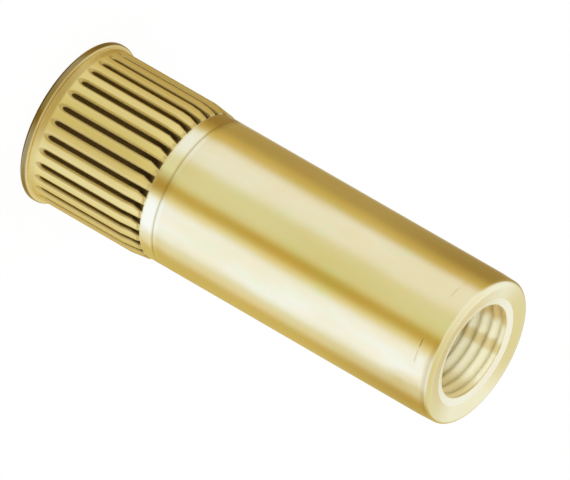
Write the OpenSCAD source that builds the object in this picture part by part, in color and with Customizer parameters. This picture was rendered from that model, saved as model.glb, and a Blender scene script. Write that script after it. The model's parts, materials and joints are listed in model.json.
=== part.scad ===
// Blind threaded insert: a knurled shank under a small head, a plain body and a
// fine thread at the far, open end. One turned piece, standing on its head.
// The screw comes in at the head, passes the wide bore and ends in the thread.

/* [Thread] */
// Nominal diameter of the thread
thread_d = 12; // [10:0.1:16]
// Pitch of the thread
thread_pitch = 1.25; // [0.75:0.25:1.75]
// Length of the threaded bore, with its countersink
thread_len = 18; // [8:0.5:24]
// Width of the countersink at the open end, on the radius
countersink = 0.8; // [0.3:0.01:1]
// Angle of the countersink
countersink_angle = 150; // [90:5:160]
// Depth of the dish in the end face, where it meets the countersink
dish = 0.25; // [0.05:0.01:0.4]
// Flat rim between the dish and the rounded outer edge
end_rim = 0.15; // [0.05:0.01:0.3]

/* [Body] */
// Length over all, from the head's face to the open end
length = 52.4; // [43:0.1:70]
// Room around the screw in the wide bore, on the radius
screw_room = 0.7; // [0.3:0.05:1]
// Wall around the wide bore
wall = 1.6; // [1.2:0.05:2.5]
// Length of the slim lead-in at the open end
lead_len = 2.3; // [0.5:0.1:4]
// Fall of the lead-in, on the radius
lead_fall = 0.08; // [0.02:0.01:0.2]
// Rounding of the outer edge at the open end
end_round = 0.5; // [0.1:0.01:0.8]
// Point angle of the drill that leaves the cone between the two bores
drill_angle = 118; // [90:1:140]

/* [Head] */
// Overhang of the head beyond the knurl, on the radius
head_overhang = 0.45; // [0.3:0.01:2]
// Thickness of the head
head_t = 0.95; // [0.8:0.01:2]
// Rounding of the head's outer edge
rim_round = 0.4; // [0.1:0.01:0.45]
// Rounding of the edge on the head's underside
seat_round = 0.17; // [0.05:0.01:0.17]
// Fillet between the head and the knurled shank
root_fillet = 0.1; // [0.05:0.01:0.12]
// Chamfer at the mouth of the wide bore
mouth_chamfer = 0.3; // [0.1:0.05:0.5]

/* [Knurl] */
// Number of grooves
grooves = 32; // [12:1:36]
// Height of the knurl above the plain body, on the radius
knurl_rise = 0.4; // [0.25:0.01:0.8]
// Depth of a groove, from the top of the ridges. Its floor lies below the body
groove_depth = 0.6; // [0.45:0.01:0.9]
// Width of a groove, which is also twice the radius of its round floor
groove_w = 0.46; // [0.3:0.01:0.6]
// Smooth band between the head and the tips of the grooves
smooth_band = 1.3; // [0.5:0.1:3]
// Length from the tips of the grooves to where the ridges start to fall
knurl_len = 10.65; // [4:0.05:20]
// Length of the gentle taper in which the ridges fall
taper_len = 1.95; // [0.5:0.05:4]
// What is left for the step at the foot of the taper, on the radius
step_drop = 0.15; // [0.05:0.01:0.24]
// Length of the step
step_len = 0.15; // [0.05:0.01:0.5]
// How far the grooves run out past the foot of the step
groove_overrun = 0.1; // [0.02:0.01:0.2]
// Length of the notch that opens each groove to one side at its end
notch_len = 1.2; // [0.4:0.1:2.5]
// Width that the notch adds to the groove
notch_w = 0.38; // [0.2:0.01:0.6]

/* [Hidden] */
$fn = 96;

// Height of a basic profile thread that its nut bore leaves, over the pitch
thread_height_ratio = 1.0825;
// Reach of a cutter beyond what it cuts
past = 1;

minor_r = (thread_d - thread_height_ratio * thread_pitch) / 2;
wide_r = thread_d / 2 + screw_room;
body_r = wide_r + wall;
knurl_r = body_r + knurl_rise;
head_r = knurl_r + head_overhang;
end_r = body_r - lead_fall;
step_r = body_r + step_drop;
groove_floor_r = knurl_r - groove_depth;

knurl_start = head_t + smooth_band;
knurl_end = knurl_start + knurl_len;
step_start = knurl_end + taper_len;
step_end = step_start + step_len;
groove_end = step_end + groove_overrun;
lead_start = length - lead_len;
thread_start = length - thread_len;
drill_cone_start = thread_start - (wide_r - minor_r) / tan(drill_angle / 2);
countersink_r = minor_r + countersink;
countersink_start = length - dish - countersink / tan(countersink_angle / 2);
dish_r = end_r - end_round - end_rim;
dish_fall = dish / (dish_r - countersink_r);

function unit(v) = v / norm(v);

// An arc that rounds the corner between the sides to a and b: half the corner's
// angle, the arc's centre, and where it touches the side to a
function half_angle(corner, a, b) = acos(unit(a - corner) * unit(b - corner)) / 2;
function arc_centre(corner, a, b, radius) =
    corner + unit(unit(a - corner) + unit(b - corner)) * radius / sin(half_angle(corner, a, b));
function touch(corner, a, b, radius) =
    corner + unit(a - corner) * radius / tan(half_angle(corner, a, b));

// What an outer corner loses when it is rounded
module corner_waste(corner, a, b, radius) {
    centre = arc_centre(corner, a, b, radius);
    difference() {
        polygon([touch(corner, a, b, radius), centre, touch(corner, b, a, radius),
                 corner - unit(centre - corner) * radius]);
        translate(centre) circle(radius);
    }
}

// Half of the outside, as radius and height
module outer_section() {
    axis_foot = [0, 0];
    head_rim = [head_r, 0];
    head_seat = [head_r, head_t];
    root = [knurl_r, head_t];
    taper_top = [knurl_r, knurl_end];
    step_top = [step_r, step_start];
    step_foot = [body_r, step_end];
    lead_top = [body_r, lead_start];
    end_edge = [end_r, length];
    axis_top = [0, length];
    difference() {
        polygon([axis_foot, head_rim, head_seat,
                 touch(root, head_seat, taper_top, root_fillet),
                 touch(root, taper_top, head_seat, root_fillet),
                 taper_top, step_top, step_foot, lead_top, end_edge, axis_top]);
        translate(arc_centre(root, head_seat, taper_top, root_fillet)) circle(root_fillet);
        corner_waste(head_rim, axis_foot, head_seat, rim_round);
        corner_waste(head_seat, head_rim, root, seat_round);
        corner_waste(end_edge, lead_top, axis_top, end_round);
    }
}

// Half of the way through the middle, as radius and height
module bore_section() {
    polygon([[0, -past], [wide_r + mouth_chamfer + past, -past], [wide_r, mouth_chamfer],
             [wide_r, drill_cone_start], [minor_r, thread_start],
             [minor_r, countersink_start], [countersink_r, length - dish],
             [dish_r + past / dish_fall, length + past],
             [0, length + past]]);
}

// Section of a groove, round at the floor and open outwards along x
module groove_section() {
    circle(d = groove_w);
    translate([0, -groove_w / 2]) square([groove_depth + past, groove_w]);
}

// One groove, on the +X side: a round tip near the head, a straight run, and a
// notch at its end that widens counter-clockwise as seen from the open end
module groove() {
    floor_axis = groove_floor_r + groove_w / 2;
    tip = knurl_start + groove_w / 2;
    translate([floor_axis, 0, tip]) {
        linear_extrude(groove_end - tip) groove_section();
        sphere(d = groove_w);
        rotate([0, 90, 0]) cylinder(h = groove_depth + past, d = groove_w);
    }
    translate([groove_floor_r, 0, 0]) rotate([90, 0, 90]) linear_extrude(groove_depth + past)
        polygon([[0, groove_end - notch_len], [groove_w / 2, groove_end - notch_len],
                 [groove_w / 2 + notch_w, groove_end], [0, groove_end]]);
}

// The whole piece, with a ridge of the knurl centred on +X
module insert() {
    color("goldenrod") difference() {
        rotate_extrude() outer_section();
        rotate_extrude() bore_section();
        for (i = [0 : grooves - 1]) rotate((i + 0.5) * 360 / grooves) groove();
    }
}

insert();
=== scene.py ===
# %% [markdown]
# # A knurled blind insert with a fine thread
#
# The part is a steel sleeve, turned from bar in one piece and passivated yellow. A screw comes
# in at the head, passes the wide bore and ends in the thread at the far end. The knurl under the
# head keeps the sleeve from turning in its hole.
#
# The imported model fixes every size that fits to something. This script makes the surface that
# is looked at: the thread, the rounded edges of the knurl, the turned lines and the plating.
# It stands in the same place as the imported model, in metres, so nothing is moved afterwards.

# %% Load the frame
import json
import math

import bmesh
import bpy
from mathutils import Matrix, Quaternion, Vector


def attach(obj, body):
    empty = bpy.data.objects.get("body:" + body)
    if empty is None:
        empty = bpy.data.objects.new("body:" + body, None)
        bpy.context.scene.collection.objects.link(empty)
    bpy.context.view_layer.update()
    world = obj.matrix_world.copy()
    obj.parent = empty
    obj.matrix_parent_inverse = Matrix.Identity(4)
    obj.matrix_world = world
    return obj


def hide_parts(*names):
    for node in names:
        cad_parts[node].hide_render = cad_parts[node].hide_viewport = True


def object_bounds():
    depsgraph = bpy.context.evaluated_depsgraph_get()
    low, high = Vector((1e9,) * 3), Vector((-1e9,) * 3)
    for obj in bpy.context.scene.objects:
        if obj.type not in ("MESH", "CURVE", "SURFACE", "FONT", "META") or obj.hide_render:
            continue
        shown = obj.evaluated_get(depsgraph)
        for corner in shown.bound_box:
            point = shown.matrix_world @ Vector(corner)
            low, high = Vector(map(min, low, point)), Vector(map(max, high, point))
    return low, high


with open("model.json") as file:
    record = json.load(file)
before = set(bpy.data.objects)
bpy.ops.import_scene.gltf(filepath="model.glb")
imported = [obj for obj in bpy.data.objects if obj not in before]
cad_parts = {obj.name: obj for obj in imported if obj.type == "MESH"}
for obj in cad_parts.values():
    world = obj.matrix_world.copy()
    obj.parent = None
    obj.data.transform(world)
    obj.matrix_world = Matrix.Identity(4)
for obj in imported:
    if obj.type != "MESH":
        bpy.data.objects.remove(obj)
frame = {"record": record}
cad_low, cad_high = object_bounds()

print("frame box in mm:", [round(v * 1000, 3) for v in (*cad_low, *cad_high)])

# %% [markdown]
# ## Sizes
#
# What another part meets is already stated in the frame as a mount: the thread's bore, the
# screw's clearance bore, the shank that sits in the panel. Reading those numbers back, and not
# typing them again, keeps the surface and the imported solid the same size. Only what no mount
# states, such as a groove's width, is a named value, in the cell that first needs it.

# %% Sizes that the frame states
MM = 0.001
mounts = {mount["name"]: mount for mount in frame["record"]["mounts"]}


def radius_of(name):
    """The radius of a round mount, in metres."""
    return mounts[name]["dims"]["r_mm"] * MM


def ends_of(name):
    """The lower and upper end of a round mount on the axis, in metres."""
    middle = mounts[name]["pos_m"][2]
    half = mounts[name]["dims"]["length_mm"] * MM / 2
    return middle - half, middle + half


length = cad_high.z
head_r = cad_high.x
head_t = mounts["panel_seat"]["pos_m"][2]
knurl_r = radius_of("panel_shank")
wide_r = radius_of("screw_entry")
minor_r = radius_of("screw_thread")
root_top, knurl_end = ends_of("panel_shank")
mouth_top, drill_cone_start = ends_of("screw_entry")
thread_start, countersink_start = ends_of("screw_thread")
print(f"length {length / MM:.2f}, head {head_r / MM:.3f}, knurl {knurl_r / MM:.3f}")

# %% Sizes where the skins meet
WALL = 1.6 * MM
TAPER_LEN = 1.95 * MM
STEP_DROP = 0.15 * MM
STEP_LEN = 0.15 * MM
GROOVES = 32
GROOVE_OVERRUN = 0.1 * MM
# Plain strip past the grooves' ends, in which the columns even out
EVEN_STRIP = 0.15 * MM
COLUMNS = 4 * GROOVES

body_r = wide_r + WALL
step_r = body_r + STEP_DROP
step_start = knurl_end + TAPER_LEN
step_end = step_start + STEP_LEN
groove_end = step_end + GROOVE_OVERRUN
body_start = groove_end + EVEN_STRIP
print(f"{GROOVES} grooves end at {groove_end / MM:.2f}, {COLUMNS} columns of faces round the piece")

# %% [markdown]
# ## Expressions that write nodes
#
# Geometry Nodes and materials both do sums with Math nodes, and a formula of ten terms is ten
# boxes to place and wire. A small class that wraps a socket and overloads the operators lets
# the formula stay a line of Python. The same class serves both kinds of tree.

# %% A socket that can stand in a sum


class Wire:
    """An output socket. Each operator on it adds one Math node to its tree."""

    def __init__(self, tree, socket):
        self.tree = tree
        self.socket = socket

    def math(self, operation, *others):
        terms = dict(enumerate((self, *others)))
        return self.tree.add("ShaderNodeMath", {"operation": operation}, terms)

    def other(self, name):
        """Another output of the same node."""
        return Wire(self.tree, self.socket.node.outputs[name])

    def __add__(self, term):
        return self.math("ADD", term)

    def __mul__(self, term):
        return self.math("MULTIPLY", term)

    def __sub__(self, term):
        return self.math("SUBTRACT", term)

    def __rsub__(self, term):
        return self.tree.add("ShaderNodeMath", {"operation": "SUBTRACT"}, {0: term, 1: self})

    def __truediv__(self, term):
        return self.math("DIVIDE", term)

    def __lt__(self, term):
        return self.math("LESS_THAN", term)

    def __gt__(self, term):
        return self.math("GREATER_THAN", term)

    def __abs__(self):
        return self.math("ABSOLUTE")

    __radd__ = __add__
    __rmul__ = __mul__

    def at_least(self, term):
        return self.math("MAXIMUM", term)

    def at_most(self, term):
        return self.math("MINIMUM", term)

    def clamped(self, low=0.0, high=1.0):
        return self.at_least(low).at_most(high)

    def root(self):
        return self.at_least(0).math("SQRT")

    def ramp(self, start, end):
        """Rises smoothly from 0 at start to 1 at end, or falls where end is the lower."""
        settings = {"interpolation_type": "SMOOTHSTEP"}
        values = {"Value": self, "From Min": start, "From Max": end}
        return self.tree.add("ShaderNodeMapRange", settings, values)


# %% A tree that takes a node's type, its settings and its inputs


class Tree:
    """A node tree, with one method for any node."""

    def __init__(self, nodes_of):
        self.nodes_of = nodes_of

    def add(self, kind, settings=None, inputs=None, output=0):
        node = self.nodes_of.nodes.new(kind)
        for name, value in (settings or {}).items():
            setattr(node, name, value)
        for name, value in (inputs or {}).items():
            if isinstance(value, Wire):
                self.nodes_of.links.new(value.socket, node.inputs[name])
            else:
                node.inputs[name].default_value = value
        return Wire(self, node.outputs[output]) if len(node.outputs) else node

    def vector(self, x, y, z):
        return self.add("ShaderNodeCombineXYZ", {}, {"X": x, "Y": y, "Z": z})

    def parts(self, vector):
        """X, Y and Z of a vector."""
        x = self.add("ShaderNodeSeparateXYZ", {}, {"Vector": vector})
        return x, x.other("Y"), x.other("Z")

    def mix(self, factor, first, second):
        """Two colours mixed by a factor. Sockets 6, 7 and output 2 are the Mix node's colours."""
        first, second = ((*c, 1) if isinstance(c, tuple) else c for c in (first, second))
        inputs = {"Factor": factor, 6: first, 7: second}
        return self.add("ShaderNodeMix", {"data_type": "RGBA"}, inputs, 2)

    def vector_math(self, operation, *terms, **named):
        """A Vector Math node on vectors, and on a named number such as Scale."""
        inputs = {**dict(enumerate(terms)), **named}
        return self.add("ShaderNodeVectorMath", {"operation": operation}, inputs)


# %% [markdown]
# ## Drawings
#
# A turner works to a section: half of the outline, as radius and height. Each section is drawn
# here as a list of corners, with an arc wherever two sides meet in a round edge, and kept as a
# poly curve whose points are (radius, 0, height). The trees below read their rows from it.

# %% Arcs and outlines


def arc(centre, radius, start, end, steps):
    """Points on an arc from start to end, in degrees, as radius and height."""
    turns = [math.radians(start + (end - start) * i / steps) for i in range(steps + 1)]
    return [(centre[0] + radius * math.cos(t), centre[1] + radius * math.sin(t)) for t in turns]


def spaced(start, end, steps):
    """Points on a straight line between two corners, without its two ends."""
    shares = [i / steps for i in range(1, steps)]
    return [tuple(a + (b - a) * s for a, b in zip(start, end)) for s in shares]


def drawing(name, points):
    """A curve object through points of radius and height. It is read, and never shown."""
    curve = bpy.data.curves.new(name, "CURVE")
    curve.dimensions = "3D"
    spline = curve.splines.new("POLY")
    spline.points.add(len(points) - 1)
    for point, (radius, height) in zip(spline.points, points):
        point.co = (radius, 0, height, 1)
    return bpy.data.objects.new(name, curve)


# %% [markdown]
# ## A sheet of rows and columns
#
# Every skin of this piece is a sheet wrapped round the axis: its columns run round the piece
# and its rows follow a drawing. Spin in Edit Mode or a Screw modifier would wrap a plain
# section too, but a knurl and a thread also need the column to take part in the formula. So
# each tree starts from a Grid, splits the vertex index into row and column, and sets the
# position from the two.

# %% What all three trees share


def new_tree(name, inputs):
    """An empty geometry tree with named inputs. Returns it and a wire for each input."""
    group = bpy.data.node_groups.new(name, "GeometryNodeTree")
    for title, kind in inputs.items():
        group.interface.new_socket(title, in_out="INPUT", socket_type=f"NodeSocket{kind}")
    group.interface.new_socket("Geometry", in_out="OUTPUT", socket_type="NodeSocketGeometry")
    tree = Tree(group)
    entry = tree.add("NodeGroupInput")
    return tree, {title: entry.other(title) for title in inputs}


def rows_of(tree, drawn):
    """The geometry of a drawing, and how many points it has."""
    shape = tree.add("GeometryNodeObjectInfo", {}, {"Object": drawn}).other("Geometry")
    settings = {"component": "CURVE"}
    return shape, tree.add("GeometryNodeAttributeDomainSize", settings, {"Geometry": shape})


def point_of(tree, shape, index):
    """The point of a drawing at an index, as radius and height."""
    place = tree.add("GeometryNodeInputPosition")
    settings = {"data_type": "FLOAT_VECTOR"}
    inputs = {"Geometry": shape, "Value": place, "Index": index}
    radius, _, height = tree.parts(tree.add("GeometryNodeSampleIndex", settings, inputs))
    return radius, height


def sheet(tree, columns, rows):
    """A flat sheet, with the column and the row of each vertex."""
    mesh = tree.add("GeometryNodeMeshGrid", {}, {"Vertices X": columns, "Vertices Y": rows})
    index = tree.add("GeometryNodeInputIndex")
    column = (index / rows).math("FLOOR")
    return mesh, column, index - column * rows


def wrap(tree, mesh, angle, radius, height):
    """Puts each vertex of a sheet at an angle, in radians, a radius and a height."""
    place = tree.vector(radius * angle.math("COSINE"), radius * angle.math("SINE"), height)
    return tree.add("GeometryNodeSetPosition", {}, {"Geometry": mesh, "Position": place})


def close_tree(tree, mesh, material):
    """Ends a tree in Realize Instances and Set Material."""
    mesh = tree.add("GeometryNodeRealizeInstances", {}, {"Geometry": mesh})
    inputs = {"Geometry": mesh, "Material": material}
    mesh = tree.add("GeometryNodeSetMaterial", {}, inputs)
    tree.add("NodeGroupOutput", {}, {"Geometry": mesh})


def grow(name, tree, values):
    """Runs a tree on an empty mesh with these input values and returns the plain mesh."""
    host = bpy.data.objects.new(name, bpy.data.meshes.new(name))
    bpy.context.scene.collection.objects.link(host)
    modifier = host.modifiers.new("Nodes", "NODES")
    modifier.node_group = tree.nodes_of
    for item in tree.nodes_of.interface.items_tree:
        if item.in_out == "INPUT":
            modifier[item.identifier] = values[item.name]
    bpy.context.view_layer.update()
    seen = host.evaluated_get(bpy.context.evaluated_depsgraph_get())
    mesh = bpy.data.meshes.new_from_object(seen)
    bpy.data.objects.remove(host)
    print(f"{name}: {len(mesh.vertices)} vertices, {len(mesh.polygons)} faces")
    return mesh


passivated = bpy.data.materials.new("yellow_passivated_steel")

# %% [markdown]
# ## Turned skins
#
# Two stretches of the surface are plain turning. The first runs from the top of the fillet
# under the head, over the head and back up the wide bore to the drill's cone. The second runs
# from the end of the knurl over the long body and the lead-in, across the dished end face and
# down the countersink to the mouth of the thread. Two fine lines that a tool left on the body
# are part of its section. A section goes round once, so the tree is one formula.

# %% Tree: a section turned round the axis
turned, given = new_tree("turned_skin", {"Section": "Object", "Columns": "Int", "Finish": "Material"})
shape, rows = rows_of(turned, given["Section"])
mesh, column, row = sheet(turned, given["Columns"] + 1, rows)
radius, height = point_of(turned, shape, row)
angle = column * math.tau / given["Columns"]
close_tree(turned, wrap(turned, mesh, angle, radius, height), given["Finish"])

# %% Section of the head and the wide bore
RIM_ROUND = 0.4 * MM
SEAT_ROUND = 0.3 * MM

root_fillet = root_top - head_t
head_section = [
    (knurl_r, root_top),
    *arc((knurl_r + root_fillet, root_top), root_fillet, 180, 270, 5)[1:],
    *arc((head_r - SEAT_ROUND, head_t - SEAT_ROUND), SEAT_ROUND, 90, 0, 6),
    *arc((head_r - RIM_ROUND, RIM_ROUND), RIM_ROUND, 0, -90, 10),
]
mouth, bore_foot, bore_end = (wide_r + mouth_top, 0), (wide_r, mouth_top), (wide_r, drill_cone_start)
head_section += [*spaced(head_section[-1], mouth, 4), mouth]
head_section += [bore_foot, *spaced(bore_foot, bore_end, 12), bore_end]
print(f"head and wide bore: {len(head_section)} points")

# %% Fine lines that a tool left on the body
LINE_ABOVE_STEP = 1.65 * MM
LINE_W = 0.34 * MM
LINE_DEPTH = 0.035 * MM
LEAD_LEN = 2.3 * MM
LEAD_LINE_DEPTH = 0.012 * MM

line_height = step_end + LINE_ABOVE_STEP
lead_start = length - LEAD_LEN


def fine_line(height, depth):
    """Section of a shallow line across the body: its lower edge, its floor, its upper edge."""
    low, high = height - LINE_W / 2, height + LINE_W / 2
    return [(body_r, low), (body_r - depth, height), (body_r, high)]


step_line = fine_line(line_height, LINE_DEPTH)
lead_line = fine_line(lead_start, LEAD_LINE_DEPTH)
print(f"lines at {line_height / MM:.2f} and {lead_start / MM:.2f}")

# %% Section of the body, the end face and the countersink
LEAD_FALL = 0.08 * MM
END_ROUND = 0.5 * MM
END_RIM = 0.15 * MM
DISH = 0.25 * MM
COUNTERSINK_ANGLE = 150

end_r = body_r - LEAD_FALL
dish_r = end_r - END_ROUND - END_RIM
dish_foot = length - DISH
countersink_slope = math.tan(math.radians(COUNTERSINK_ANGLE / 2))
countersink_r = minor_r + (dish_foot - countersink_start) * countersink_slope

body_foot = (body_r, body_start)
round_foot = (end_r, length - END_ROUND)
dish_edge, countersink_edge = (dish_r, length), (countersink_r, dish_foot)
thread_mouth = (minor_r, countersink_start)
body_section = [body_foot, *spaced(body_foot, step_line[0], 3), *step_line]
body_section += [*spaced(step_line[-1], lead_line[0], 16), *lead_line]
body_section += spaced(lead_line[-1], round_foot, 4)
body_section += arc((end_r - END_ROUND, length - END_ROUND), END_ROUND, 2, 90, 12)
body_section += [dish_edge, *spaced(dish_edge, countersink_edge, 4), countersink_edge]
body_section += [*spaced(countersink_edge, thread_mouth, 3), thread_mouth]
print(f"body and end face: {len(body_section)} points")

# %% Turn both
skins = []
for name, section in (("head_and_bore", head_section), ("body_skin", body_section)):
    values = {"Section": drawing(name + "_section", section), "Columns": COLUMNS, "Finish": passivated}
    skins.append(grow(name, turned, values))

# %% [markdown]
# ## The knurl
#
# A form tool presses or mills each groove: a slot with a round floor that starts in a ball end
# near the head and runs out over the shoulder. At the shoulder every groove opens to one side
# in a small notch, the trace of the tool's way out. A displacement texture would smear walls
# this steep, so the columns are laid where the groove needs them.
#
# The tree builds one sector, a groove with half a ridge on each side, and turns copies of it
# round the axis. A column is a distance from the middle of the groove. Near the ball end the
# same distance is kept from the groove's centre point, so columns close on each other ring by
# ring, and the outline comes out round.

# %% Levels across a groove
GROOVE_W = 0.46 * MM
WALL_DRAFT = 0.015 * MM
RIDGE_ROUND = 0.34 * MM

half_w = GROOVE_W / 2
wall_top = half_w + WALL_DRAFT
edge = wall_top + RIDGE_ROUND
half_pitch = math.pi * knurl_r / GROOVES

floor_levels = [half_w * share for share in (0.35, 0.62, 0.81, 0.93)]
edge_levels = [wall_top + RIDGE_ROUND * (1 - math.cos(math.radians(a))) for a in (15, 30, 45, 60, 75)]
groove_levels = [*floor_levels, half_w, wall_top, *edge_levels, edge]
one_side = [*groove_levels, (edge + half_pitch) / 2, half_pitch]
levels = [-level for level in reversed(one_side)] + [0.0] + one_side
print(f"a groove and half a ridge on each side: {2 * half_pitch / MM:.3f} mm, {len(levels)} columns")

# %% Rows along a groove
SMOOTH_BAND = 1.3 * MM
TIP_STRETCH = 2.6
NOTCH_LEN = 1.2 * MM
NOTCH_W = 0.38 * MM
FIRST_ROW = 0.2 * MM

smooth_rows = [root_top, root_top + FIRST_ROW]
groove_full = head_t + SMOOTH_BAND + half_w * TIP_STRETCH
closing_rows = [groove_full - level * TIP_STRETCH for level in reversed(groove_levels)] + [groove_full]
notch_start = groove_end - NOTCH_LEN
straight_rows = [groove_full + (knurl_end - groove_full) * i / 6 for i in range(1, 7)]
notch_rows = [notch_start + NOTCH_LEN * share for share in (0, 0.06, 0.15, 0.3, 0.45, 0.6, 0.74)]
step_rows = [step_start, step_start + STEP_LEN / 2, step_end]
wall_rows = [groove_end - WALL_DRAFT, groove_end + WALL_DRAFT, body_start]
heights = [*smooth_rows, *closing_rows, *straight_rows, *notch_rows, *step_rows, *wall_rows]


def outside_at(height):
    """Radius of the outside between the fillet under the head and the body."""
    if height <= knurl_end:
        return knurl_r
    if height <= step_start:
        return knurl_r + (step_r - knurl_r) * (height - knurl_end) / TAPER_LEN
    return max(body_r, step_r - STEP_DROP * (height - step_start) / STEP_LEN)


print(f"one sector: {len(heights)} rows, from {heights[0] / MM:.2f} to {heights[-1] / MM:.2f}")

# %% Tree: one sector, repeated round the axis
HAIR = 0.001 * MM
CLEAR = 1.0 * MM
FLATTENING = 12
LEAST_ROLL = 0.15

knurl, given = new_tree(
    "knurl",
    {
        "Outside": "Object",
        "Levels": "Object",
        "Grooves": "Int",
        "Knurl Radius": "Float",
        "Body Radius": "Float",
        "Groove Width": "Float",
        "Groove Depth": "Float",
        "Ridge Round": "Float",
        "Ridge Drop": "Float",
        "Groove Full": "Float",
        "Tip Stretch": "Float",
        "Groove End": "Float",
        "Notch Length": "Float",
        "Notch Width": "Float",
        "Finish": "Material",
    },
)
outside, rows = rows_of(knurl, given["Outside"])
across, columns = rows_of(knurl, given["Levels"])
mesh, column, row = sheet(knurl, columns, rows)
radius, height = point_of(knurl, outside, row)
level, _ = point_of(knurl, across, column)

half_slot = given["Groove Width"] / 2
slot_top = half_slot + WALL_DRAFT
slot_edge = slot_top + given["Ridge Round"]
sector_half = given["Knurl Radius"] * math.pi / given["Grooves"]
in_groove = abs(level) < slot_edge + HAIR
past_end = height > given["Groove End"]

# How far the columns have closed: none along the groove, all of them before its tip and past its end
closed = ((given["Groove Full"] - height) / given["Tip Stretch"]).clamped(0, slot_edge)
closed = closed.at_least(slot_edge * (height > given["Groove End"] + WALL_DRAFT * 2))
reach = (level * level - closed * closed * in_groove).root()
side = level.math("SIGN")

# The first and last rows are spaced evenly, as the turned skins are, so the borders meet
on_border = (row < 0.5) + (row > rows - 1.5)
even = sector_half * ((abs(level) - slot_edge) / (sector_half - slot_edge)).clamped()
reach = reach + (even - reach) * on_border

# The notch widens the groove on its positive side and soon flattens its floor
notched = ((height - given["Groove End"]) / given["Notch Length"] + 1).clamped()
notch = given["Notch Width"] * notched * (1 - closed / slot_edge)
in_ridge = (sector_half - level) / (sector_half - slot_edge)
offset = side * reach + notch * (level / half_slot).clamped().at_most(in_ridge.clamped())
flat = (notched * FLATTENING).clamped() * (level > 0) * (level < half_slot + HAIR)

# The groove's own section, at one radius all along: a round floor and steep walls. Outside the
# groove it is lifted clear of the ridge
distance = abs(level).at_least(closed)
floor_radius = given["Knurl Radius"] - given["Groove Depth"]
floor_rise = half_slot - (half_slot * half_slot - distance * distance).root()
wall_rise = (given["Groove Depth"] - half_slot) * ((distance - half_slot) / WALL_DRAFT).at_least(0)
groove_radius = floor_radius + floor_rise * (1 - flat) + wall_rise + (distance > slot_top) * CLEAR

# The ridge's edges are rolled over, most where it is highest
rise = (radius - given["Body Radius"]) / (given["Knurl Radius"] - given["Body Radius"])
from_ridge = ((slot_edge - distance) / given["Ridge Round"]).clamped()
rolled = 1 - (1 - from_ridge * from_ridge).root()
ridge_radius = radius - rolled * given["Ridge Drop"] * rise.clamped(LEAST_ROLL) * (1 - past_end)
new_radius = ridge_radius.at_most(groove_radius + past_end * CLEAR)
depth = (radius - new_radius) / given["Groove Depth"]

# The depth is stored as an attribute, from which the material takes the film that pools and the
# painted shade in the grooves
sector = wrap(knurl, mesh, offset / given["Knurl Radius"], new_radius, height)
settings = {"data_type": "FLOAT", "domain": "POINT"}
inputs = {"Geometry": sector, "Name": "groove", "Value": depth}
sector = knurl.add("GeometryNodeStoreNamedAttribute", settings, inputs)

spot = knurl.add("GeometryNodePoints", {}, {"Count": given["Grooves"]})
turn = (knurl.add("GeometryNodeInputIndex") + 0.5) * math.tau / given["Grooves"]
inputs = {"Points": spot, "Instance": sector, "Rotation": knurl.vector(0, 0, turn)}
close_tree(knurl, knurl.add("GeometryNodeInstanceOnPoints", {}, inputs), given["Finish"])

# %% Grow the knurl
GROOVE_DEPTH = 0.6 * MM
RIDGE_DROP = 0.2 * MM

skins.append(
    grow(
        "knurl",
        knurl,
        {
            "Outside": drawing("knurl_outside", [(outside_at(z), z) for z in heights]),
            "Levels": drawing("groove_levels", [(level, 0) for level in levels]),
            "Grooves": GROOVES,
            "Knurl Radius": knurl_r,
            "Body Radius": body_r,
            "Groove Width": GROOVE_W,
            "Groove Depth": GROOVE_DEPTH,
            "Ridge Round": RIDGE_ROUND,
            "Ridge Drop": RIDGE_DROP,
            "Groove Full": groove_full,
            "Tip Stretch": TIP_STRETCH,
            "Groove End": groove_end,
            "Notch Length": NOTCH_LEN,
            "Notch Width": NOTCH_W,
            "Finish": passivated,
        },
    )
)

# %% [markdown]
# ## The thread
#
# A thread is one profile that climbs a pitch in each turn. A stack of rings would look like a
# thread from far off and be wrong at every crest, and a boolean with a helix is slow and leaves
# ragged edges. Here the rows of the sheet climb with the column, so that after one turn each row
# meets the next pitch, and the crests stay sharp. At the drill's cone the sheet follows the cone,
# and under the countersink the last turn fades out, as a tap leaves it.

# %% Outline of the thread, for all its turns
PITCH = 1.25 * MM
# Height of the thread's basic profile that a nut's bore leaves, over the pitch
THREAD_HEIGHT_RATIO = 1.0825
CREST_FLAT = PITCH / 4
ROOT_FLAT = PITCH / 8
FLANK = (PITCH - CREST_FLAT - ROOT_FLAT) / 2
FLANK_ROWS = 5

major_r = minor_r + THREAD_HEIGHT_RATIO / 2 * PITCH


def one_turn(start):
    """Points of one pitch of the thread: crest flat, flank, root flat, flank."""
    crest_end = start + CREST_FLAT
    root_start = crest_end + FLANK
    root_end = root_start + ROOT_FLAT
    points = [(minor_r, start), (minor_r, start + CREST_FLAT / 2), (minor_r, crest_end)]
    points += spaced((minor_r, crest_end), (major_r, root_start), FLANK_ROWS)
    points += [(major_r, root_start), (major_r, root_start + ROOT_FLAT / 2), (major_r, root_end)]
    return points + spaced((major_r, root_end), (minor_r, start + PITCH), FLANK_ROWS)


thread_turns = math.ceil((dish_foot - drill_cone_start) / PITCH) + 1
first_turn = dish_foot - thread_turns * PITCH
starts = [first_turn + i * PITCH for i in range(thread_turns)]
thread_outline = [point for start in starts for point in one_turn(start)]
thread_outline.append((minor_r, dish_foot))
print(f"{thread_turns} turns of {2 * major_r / MM:.2f} x {PITCH / MM}, {len(thread_outline)} rows")

# %% Tree: the outline climbs one pitch in a turn
thread, given = new_tree(
    "thread",
    {
        "Outline": "Object",
        "Columns": "Int",
        "Pitch": "Float",
        "Bottom": "Float",
        "Top": "Float",
        "Minor Radius": "Float",
        "Drill Radius": "Float",
        "Finish": "Material",
    },
)
RUNOUT_RATE = 1.4
DRILL_ANGLE = 118

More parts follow.
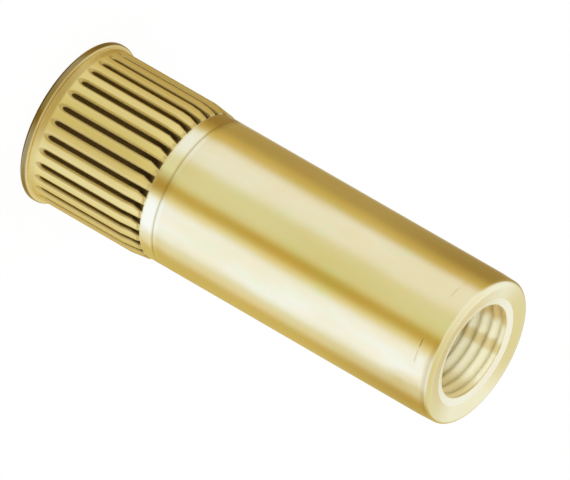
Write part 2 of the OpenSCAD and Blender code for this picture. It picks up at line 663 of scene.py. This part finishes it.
drill_slope = math.tan(math.radians(DRILL_ANGLE / 2))
outline, rows = rows_of(thread, given["Outline"])
mesh, column, row = sheet(thread, given["Columns"] + 1, rows)
radius, height = point_of(thread, outline, row)
turn = column / given["Columns"]
height = (height + given["Pitch"] * turn).clamped(given["Bottom"], given["Top"])
drill_cone = given["Drill Radius"] - (height - given["Bottom"]) * drill_slope
fade = ((given["Top"] - height) / given["Pitch"] * RUNOUT_RATE).clamped()
radius = given["Minor Radius"] + (radius - given["Minor Radius"]) * fade
radius = radius.at_least(drill_cone)
close_tree(thread, wrap(thread, mesh, turn * math.tau, radius, height), given["Finish"])

# %% Grow the thread
skins.append(
    grow(
        "thread",
        thread,
        {
            "Outline": drawing("thread_outline", thread_outline),
            "Columns": COLUMNS,
            "Pitch": PITCH,
            "Bottom": drill_cone_start,
            "Top": countersink_start,
            "Minor Radius": minor_r,
            "Drill Radius": wide_r,
            "Finish": passivated,
        },
    )
)

# %% [markdown]
# ## One closed piece
#
# The four skins share their border points, so merging by distance closes them into one solid.
# The normals are worked out again after that, because each sheet was made on its own. Edges
# that turn by more than a set angle stay crisp, and all others shade smooth.

# %% Join, merge, and check that it is closed
MERGE = 0.0008 * MM
CRISP_ANGLE = math.radians(38)
THREAD_ANGLE = math.radians(62)
STEEL_DENSITY = 7.85

work = bmesh.new()
for skin in skins:
    work.from_mesh(skin)
    bpy.data.meshes.remove(skin)
bmesh.ops.remove_doubles(work, verts=work.verts, dist=MERGE)
bmesh.ops.recalc_face_normals(work, faces=work.faces)
for face in work.faces:
    face.smooth = True
for line in work.edges:
    start = line.verts[0].co
    in_thread = start.xy.length < major_r and drill_cone_start < start.z < countersink_start
    limit = THREAD_ANGLE if in_thread else CRISP_ANGLE
    line.smooth = line.is_manifold and line.calc_face_angle(0) < limit
open_edges = sum(not line.is_manifold for line in work.edges)
if work.calc_volume(signed=True) < 0:
    bmesh.ops.reverse_faces(work, faces=work.faces)
volume = work.calc_volume(signed=True)

insert_mesh = bpy.data.meshes.new("threaded_insert")
work.to_mesh(insert_mesh)
work.free()
insert_mesh.materials.clear()
insert_mesh.materials.append(passivated)
insert = bpy.data.objects.new("threaded_insert", insert_mesh)
bpy.context.scene.collection.objects.link(insert)
insert_mesh.calc_loop_triangles()
print(f"insert: {len(insert_mesh.loop_triangles)} triangles, {open_edges} open edges")
volume = volume / MM**3
print(f"volume {volume:.0f} mm3, which is {volume * STEEL_DENSITY:.0f} mg of steel")

# %% Tie it to the frame
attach(insert, "root")
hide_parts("insert")

# %% [markdown]
# ## Yellow passivated steel
#
# Zinc plate is passivated in a chromate bath, which leaves a thin yellow film. It is a metal's
# shine under a tint that drifts from lemon to amber with the film's thickness. An image could
# hold such a film, but it would need a seam. Noise and soft bands on Object coordinates go right
# round the piece, and each band is set out from an edge that the frame or a named size gives.
# Some of the bands, and the dark in the grooves, are painted shade and painted highlights.

# %% Colours of the film, of the film pooling and painted shade in the grooves, of other painted shade, and of the barely plated bore
LEMON = (0.85, 0.74, 0.43)
AMBER = (0.82, 0.67, 0.33)
GOLD = (0.85, 0.68, 0.25)
STRAW = (0.92, 0.85, 0.58)
OLIVE = (0.70, 0.56, 0.20)
# Painted shade: a dark amber laid where shade falls on the piece
AMBER_SHADE = (0.52, 0.36, 0.10)
ORANGE = (0.70, 0.50, 0.15)
BROWN = (0.30, 0.20, 0.06)
ROSE = (0.87, 0.68, 0.33)
GREEN = (0.74, 0.74, 0.36)
# Film pooling with painted shade in the grooves, and the darker painted shade of the notches
POOLED_FILM_AND_SHADE = (0.22, 0.14, 0.038)
NOTCH_SHADE = (0.06, 0.034, 0.008)
BARE = (0.95, 0.91, 0.66)
LIP = (0.90, 0.82, 0.58)

# %% Places on the piece, in millimetres
passivated.use_nodes = True
passivated.node_tree.nodes.clear()
finish = Tree(passivated.node_tree)

place = finish.add("ShaderNodeTexCoord").other("Object")
x, y, z = finish.parts(finish.vector_math("SCALE", place, Scale=1 / MM))
around = (x * x + y * y).root()
groove = finish.add("ShaderNodeAttribute", {"attribute_name": "groove"}).other("Fac")

# Heights and radii that the bands are set out from
HEAD_TOP = head_t / MM
STEP_FOOT = step_end / MM
LINE = line_height / MM
LEAD = lead_start / MM
END = length / MM
THREAD_FOOT = thread_start / MM
THREAD_TOP = countersink_start / MM
DISH_FOOT = dish_foot / MM
KNURL_R = knurl_r / MM
BODY_R = body_r / MM
WIDE_R = wide_r / MM
COUNTERSINK_R = countersink_r / MM


def beyond(edge, begin, full):
    """Rises from 0 to 1 between two heights, which are given from an edge."""
    return z.ramp(edge + begin, edge + full)


def band(edge, begin, full, fade, end):
    """1 between two heights, with a soft edge at each, which are all given from an edge."""
    return beyond(edge, begin, full) * beyond(edge, end, fade)


def outward(radius, begin, full):
    """Rises from 0 to 1 between two radii, which are given from a radius of the piece."""
    return around.ramp(radius + begin, radius + full)


def side(angle, wide, soft):
    """1 on one side of the axis: within so many degrees of an angle round it."""
    turned_by = math.radians(angle)
    facing = (x * math.cos(turned_by) + y * math.sin(turned_by)) / around
    edges = [math.cos(math.radians(limit)) for limit in (wide + soft, wide)]
    return facing.ramp(*edges)


# %% The film drifts along the piece, with clouds of rose and green where its thickness changes
drifting = finish.vector(x, y, z * 0.35)
drift = finish.add("ShaderNodeTexNoise", {}, {"Vector": drifting, "Scale": 0.2, "Detail": 3.0})
clouds = finish.add("ShaderNodeTexNoise", {}, {"Vector": drifting, "Scale": 0.55, "Detail": 4.0})
film = finish.mix(drift.ramp(0.3, 0.7), AMBER, LEMON)
film = finish.mix(clouds.ramp(0.52, 0.72) * 0.45, film, ROSE)
film = finish.mix(clouds.ramp(0.46, 0.30) * 0.45, film, GREEN)

# %% It is deeper on the knurl and paler between the step and the line below it; a painted highlight lies just above that line, and painted shade on the step
on_knurl = beyond(HEAD_TOP, -0.2, 0.05) * beyond(STEP_FOOT, 0.4, 0.0)
film = finish.mix(on_knurl, film, GOLD)
film = finish.mix(band(STEP_FOOT, 0, 0.15, 1.4, 1.6) * 0.45, film, STRAW)
# A painted highlight just above the line
film = finish.mix(band(LINE, 0.23, 0.3, 0.45, 0.75) * 0.4, film, STRAW)
# Painted shade on the step
film = finish.mix(band(STEP_FOOT, -0.3, -0.14, 0, 0.06) * 0.5, film, AMBER_SHADE)

# %% Painted shade round the head's edge: browner under it, more on two sides, and darkest on the rim
outside = outward(BODY_R, -0.3, -0.1)
# Painted shade under the head, stronger on two sides
head_shade = side(160, 95, 25) * 0.25 + side(-95, 14, 24) * 0.35 + 0.2
film = finish.mix(beyond(HEAD_TOP, 0.9, 0.55) * outside * head_shade, film, AMBER_SHADE)
# Painted shade: the rim is drawn dark brown
rim = band(HEAD_TOP, -0.85, -0.5, -0.25, -0.03) * outward(KNURL_R, -0.2, 0.1)
film = finish.mix(rim * 0.95, film, BROWN)

# %% The two fine lines are drawn browner, the one at the lead-in in broken marks
trace = band(LINE, -0.05, 0.05, 0.13, 0.23) * (0.4 + drift * 0.6)
broken = side(-122, 2, 4) * 0.35 + side(-78, 2, 2) + side(-68, 3, 3) * 0.5
trace = trace + band(LEAD, -0.1, -0.04, 0.04, 0.1) * broken
film = finish.mix(trace * 0.6 * outside, film, BROWN)

# %% On the body: painted shade on two sides near the open end and by the step, orange clouds near the end, a painted highlight at the lead-in and painted shade on one side of the end's rounding
# Painted shade on the two sides of the body near the open end
side_shade = (side(180, 25, 25) + side(0, 25, 25)) * beyond(END, -18.4, -2.4) * outside
film = finish.mix(side_shade * 0.55, film, AMBER_SHADE)
# Painted shade by the step, on one side and in a narrow dark mark
shade_by_step = band(STEP_FOOT, 0, 0.2, 1.6, 2.6) * (side(198, 16, 14) + side(-84, 3, 9) * 0.7)
film = finish.mix(shade_by_step * outside * (0.4 + clouds * 0.8), film, AMBER_SHADE)
cloudy = band(END, -5.9, -3.4, -1.4, -0.6) * side(-36, 7, 12) * clouds.ramp(0.35, 0.6)
film = finish.mix(cloudy * 0.6, film, ORANGE)
# A painted highlight beside the mark at the lead-in
film = finish.mix(band(LEAD, 0.15, 0.4, 0.7, 1.2) * side(-66, 1, 6) * 0.2, film, STRAW)
# Painted shade on one side of the end's rounding
film = finish.mix(band(END, -1.2, -0.7, -0.2, -0.04) * side(-48, 22, 18) * 0.5, film, AMBER_SHADE)

# %% Painted shade and film that pools darken the grooves: their rolled edges turn brown, and the notches are darkest
film = finish.mix(groove.ramp(0.0, 0.06) * 0.75, film, AMBER_SHADE)
pooled_and_shaded = finish.mix(beyond(STEP_FOOT, -3.5, -0.4), POOLED_FILM_AND_SHADE, NOTCH_SHADE)
colour = finish.mix(groove.ramp(0.2, 0.7), film, pooled_and_shaded)

# %% The turned face is a little darker than the countersink, and more so on two sides, where the dark fan of its turned rings is painted shade
face = beyond(DISH_FOOT, -0.05, -0.01) * outward(COUNTERSINK_R, 0.0, 0.04)
near_face = beyond(DISH_FOOT, -0.3, -0.15) * outward(COUNTERSINK_R, -0.02, 0.08)
colour = finish.mix(near_face * 0.35, colour, STRAW)
# Painted shade on two sides of the face
colour = finish.mix(face * (side(130, 20, 50) + side(-50, 20, 50)) * 0.85, colour, OLIVE)

# %% Little plating reaches the threaded bore, and what does is streaked; one narrow olive streak is a painted shadow
bore = outward(WIDE_R, 0.05, 0.0) * beyond(THREAD_FOOT, -0.9, 0.0) * (1 - face)
threaded = bore * beyond(THREAD_TOP, 0.045, -0.035)
colour = finish.mix(bore, colour, LIP)
colour = finish.mix(threaded, colour, BARE)
colour = finish.mix(threaded * side(151, 9, 14) * 0.85, colour, ORANGE)
# A painted shadow line across the bore
colour = finish.mix(threaded * side(103, 1, 8) * 0.7, colour, OLIVE)
colour = finish.mix(threaded * side(25, 16, 26) * 0.75, colour, OLIVE)

# %% [markdown]
# ## Gloss
#
# The lathe's fine rings show in the gloss and not as a drawn line, so they go to the roughness
# and, through a Bump node, to the normal. The thread's flanks are dull and pale, and rounder
# than the mesh makes them. Their normal leans towards the axis, so that they shade softly.

# %% Fine rings, soft flanks, and the surface
RING_RELIEF = 0.02 * MM
LEAN = 0.9
DULLER = 0.85

lathe = finish.vector(around * 6, 0, z * 6)
rings = finish.add("ShaderNodeTexNoise", {}, {"Vector": lathe, "Scale": 1.0, "Detail": 3.0})
relief = {"Height": rings, "Strength": 0.05, "Distance": RING_RELIEF}
normal = finish.add("ShaderNodeBump", {}, relief)
inward = finish.vector(x / around * -LEAN, y / around * -LEAN, 0)
inward = finish.vector_math("SCALE", inward, Scale=threaded)
normal = finish.vector_math("NORMALIZE", finish.vector_math("ADD", normal, inward))

roughness = 0.2 + groove * 0.4 + rings * 0.06 + on_knurl * 0.28 + threaded * 0.25 + bore * 0.15
inputs = {
    "Base Color": colour,
    "Metallic": 1 - threaded * DULLER,
    "Roughness": roughness,
    "Normal": normal,
}
surface = finish.add("ShaderNodeBsdfPrincipled", {}, inputs)
finish.add("ShaderNodeOutputMaterial", {}, {"Surface": surface})
print(f"finish: {len(passivated.node_tree.nodes)} nodes")

# %% [markdown]
# ## Light
#
# The world is a plain white, to the camera and for the soft light that comes from all sides. A
# polished cylinder shows its surroundings as stripes. So in the metal's reflections a warm white
# cloth, cool soft strips and warm flags stand in front of that white, and draw the round of the
# body. They are placed by compass direction, and go on below the horizon, because an upright wall
# that is seen from above mirrors what lies lower. The stripes run straight along the whole body,
# and every view gets some.

# %% Camera angles, which the strips are set out from
VIEW_AZIMUTH = -1.8
VIEW_ELEVATION = 25.4
AXIS_ANGLE = -30.0

# %% World with soft strips
world = bpy.data.worlds.new("studio")
bpy.context.scene.world = world
world.use_nodes = True
world.node_tree.nodes.clear()
studio = Tree(world.node_tree)

WHITE = (1.0, 1.0, 1.0)
STRIPS = [
    # middle, half the width and softness in degrees from the camera's side, then the colour
    (20, 126, 16, (0.83, 0.87, 0.70)),
    (-64, 31, 24, (1.10, 1.28, 1.95)),
    (-21, 15, 12, (0.92, 0.88, 0.50)),
    (-17, 9, 11, (0.58, 0.42, 0.06)),
    (59, 26, 19, (1.0, 1.09, 1.4)),
    (102, 19, 16, (0.72, 0.58, 0.20)),
    (136, 32, 24, (0.48, 0.37, 0.15)),
    (-150, 34, 20, (0.70, 0.58, 0.22)),
]
CAPS = [
    # the sine of the elevation at which it begins and is full, then the colour
    (0.0, 0.4, (1.0, 1.1, 1.3)),
    (0.6, 0.85, (1.0, 1.02, 1.1)),
    (-0.6, -0.85, (0.20, 0.15, 0.06)),
]


def compass(angle):
    """Unit vector at an angle from the camera's side, level, turning towards -X."""
    turned_by = math.radians(angle - VIEW_AZIMUTH)
    return Vector((-math.sin(turned_by), -math.cos(turned_by), 0))


direction = studio.add("ShaderNodeTexCoord").other("Generated")
_, _, up = studio.parts(direction)
level_way = studio.vector_math("NORMALIZE", studio.vector_math("MULTIPLY", direction, (1, 1, 0)))
reflected = WHITE
for middle, half, soft, strip_colour in STRIPS:
    facing = studio.vector_math("DOT_PRODUCT", level_way, compass(middle)).other("Value")
    away = facing.clamped(-1, 1).math("ARCCOSINE")
    inside = away.ramp(math.radians(half + soft / 2), math.radians(half - soft / 2))
    reflected = studio.mix(inside, reflected, strip_colour)
for begin, full, cap_colour in CAPS:
    reflected = studio.mix(up.ramp(begin, full), reflected, cap_colour)

in_metal = studio.add("ShaderNodeLightPath").other("Is Glossy Ray")
light = studio.mix(in_metal, WHITE, reflected)
glow = studio.add("ShaderNodeBackground", {}, {"Color": light, "Strength": 1.0})
studio.add("ShaderNodeOutputWorld", {}, {"Surface": glow})
print(f"world: {len(STRIPS)} strips round the horizon, {len(CAPS)} caps over and under it")

# %% [markdown]
# ## Lamp
#
# Little of the world reaches down the threaded bore. One soft lamp beside the camera fills it, so
# only the flanks that face away from it stay dark. It is kept out of the reflections, where it
# would stand as a square among the strips.

# %% Lamp for the bore
LAMP_SIZE = 0.25
LAMP_DISTANCE = 0.5
LAMP_ELEVATION = 34.0
LAMP_POWER = 0.9

lamp_light = bpy.data.lights.new("bore_lamp", "AREA")
lamp_light.size = LAMP_SIZE
lamp_light.energy = LAMP_POWER
lamp = bpy.data.objects.new("bore_lamp", lamp_light)
bpy.context.scene.collection.objects.link(lamp)
lift = math.radians(LAMP_ELEVATION)
lamp_way = compass(0) * math.cos(lift) + Vector((0, 0, math.sin(lift)))
lamp.location = Vector((0, 0, length)) + lamp_way * LAMP_DISTANCE
lamp.rotation_euler = lamp_way.to_track_quat("Z", "Y").to_euler()
lamp.visible_glossy = False
lamp.visible_camera = False
print("lamp at", [round(v, 3) for v in lamp.location])

# %% [markdown]
# ## Floor
#
# The piece stands on its head on a white floor. The floor is white to the camera and still takes
# a faint shadow: most of what the camera sees of it is a plain white, and a small share is lit.
# In the reflections the world's white and its strips take the floor's place.

# %% Floor
FLOOR_HALF = 20
floor_mesh = bpy.data.meshes.new("floor")
work = bmesh.new()
bmesh.ops.create_grid(work, x_segments=1, y_segments=1, size=FLOOR_HALF)
work.to_mesh(floor_mesh)
work.free()
floor = bpy.data.objects.new("floor", floor_mesh)
bpy.context.scene.collection.objects.link(floor)
floor.visible_glossy = False

# %% White paper that keeps a faint shadow
SHADOW_SHARE = 0.07
paper = bpy.data.materials.new("white_paper")
paper.use_nodes = True
paper.node_tree.nodes.clear()
sheet_of_paper = Tree(paper.node_tree)
lit = sheet_of_paper.add("ShaderNodeBsdfDiffuse", {}, {"Color": (0.9, 0.9, 0.9, 1)})
white = sheet_of_paper.add("ShaderNodeEmission", {}, {"Color": (1, 1, 1, 1)})
to_camera = sheet_of_paper.add("ShaderNodeLightPath").other("Is Camera Ray")
inputs = {0: to_camera * (1 - SHADOW_SHARE), 1: lit, 2: white}
both = sheet_of_paper.add("ShaderNodeMixShader", {}, inputs)
sheet_of_paper.add("ShaderNodeOutputMaterial", {}, {"Surface": both})
floor_mesh.materials.append(paper)
print(f"floor: {2 * FLOOR_HALF} m wide, {SHADOW_SHARE:.0%} of it is lit")

# %% [markdown]
# ## Camera
#
# A long lens keeps the sides of the sleeve almost parallel. The piece stands upright in the
# frame, and the camera is rolled, so that in the picture the axis runs down to the right.

# %% Camera
LENS = 1400.0
SENSOR = 36.0
FRAME_WIDTH = 58.0 * MM
SHIFT_RIGHT = 0.98 * MM
SHIFT_DOWN = 0.36 * MM

azimuth, elevation = math.radians(VIEW_AZIMUTH), math.radians(VIEW_ELEVATION)
back = Vector((
    math.sin(azimuth) * math.cos(elevation),
    -math.cos(azimuth) * math.cos(elevation),
    math.sin(elevation),
))
roll = Quaternion((0, 0, 1), math.radians(90 - AXIS_ANGLE))
turned_to = back.to_track_quat("Z", "Y") @ roll
aim = (cad_low + cad_high) / 2 + turned_to @ Vector((SHIFT_RIGHT, -SHIFT_DOWN, 0))

lens = bpy.data.cameras.new("camera")
lens.lens = LENS
lens.sensor_width = SENSOR
camera = bpy.data.objects.new("camera", lens)
bpy.context.scene.collection.objects.link(camera)
camera.rotation_mode = "QUATERNION"
camera.rotation_quaternion = turned_to
camera.location = aim + back * (FRAME_WIDTH * LENS / SENSOR)
lens.clip_start = 0.1
lens.clip_end = 100
bpy.context.scene.camera = camera
bpy.context.scene.view_settings.view_transform = "Standard"
print(f"camera {camera.location.length:.2f} m away, {FRAME_WIDTH / MM:.0f} mm across the frame")
